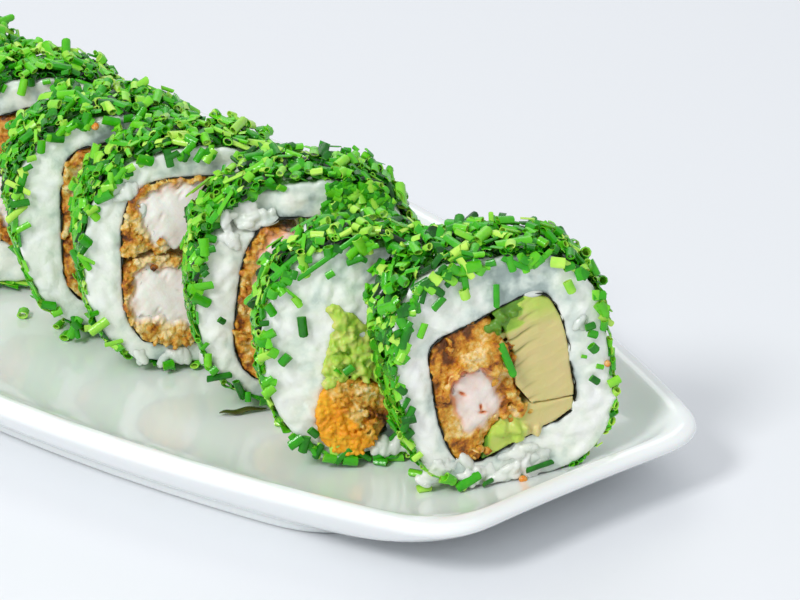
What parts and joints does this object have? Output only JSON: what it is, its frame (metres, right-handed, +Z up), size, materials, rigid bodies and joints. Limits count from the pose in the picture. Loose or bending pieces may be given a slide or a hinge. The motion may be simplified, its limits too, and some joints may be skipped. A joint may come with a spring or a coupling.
{
  "type": "uramaki rolls on a plate",
  "caption": "Inside-out sushi rolls coated with chopped chives, filled with breaded prawn and avocado, standing in a row on a white boat-shaped porcelain plate.",
  "frame": {"origin": "middle of the plate, on the surface that its foot rests on", "axes": "+X along the plate towards the end where the row of rolls starts, +Y to its far side, +Z up"},
  "size_m": [0.2908, 0.13, 0.056],
  "materials": {
    "porcelain": "glossy white glaze",
    "rice_with_chives": "moist cooked rice under a coat of chopped green chives",
    "seaweed": "damp dark seaweed sheet",
    "fried_prawn": "golden breadcrumb crust round pale cooked prawn",
    "avocado": "ripe cut avocado"
  },
  "bodies": {
    "root": {"plate": "porcelain", "rice_1": "rice_with_chives", "nori_1": "seaweed", "prawn_1": "fried_prawn", "avocado_1": "avocado", "slice_1": "avocado", "rice_2": "rice_with_chives", "nori_2": "seaweed", "prawn_2": "fried_prawn", "avocado_2": "avocado", "slice_2": "avocado", "rice_3": "rice_with_chives", "nori_3": "seaweed", "prawn_3": "fried_prawn", "avocado_3": "avocado", "rice_4": "rice_with_chives", "nori_4": "seaweed", "prawn_4": "fried_prawn", "prawn_top_4": "fried_prawn", "avocado_4": "avocado", "rice_5": "rice_with_chives", "nori_5": "seaweed", "prawn_5": "fried_prawn", "avocado_5": "avocado", "rice_6": "rice_with_chives", "nori_6": "seaweed", "prawn_6": "fried_prawn", "avocado_6": "avocado", "slice_6": "avocado", "rice_7": "rice_with_chives", "nori_7": "seaweed", "prawn_7": "fried_prawn", "prawn_top_7": "fried_prawn", "avocado_7": "avocado", "rice_8": "rice_with_chives", "nori_8": "seaweed", "prawn_8": "fried_prawn", "avocado_8": "avocado", "slice_8": "avocado"}
  },
  "joints": []
}
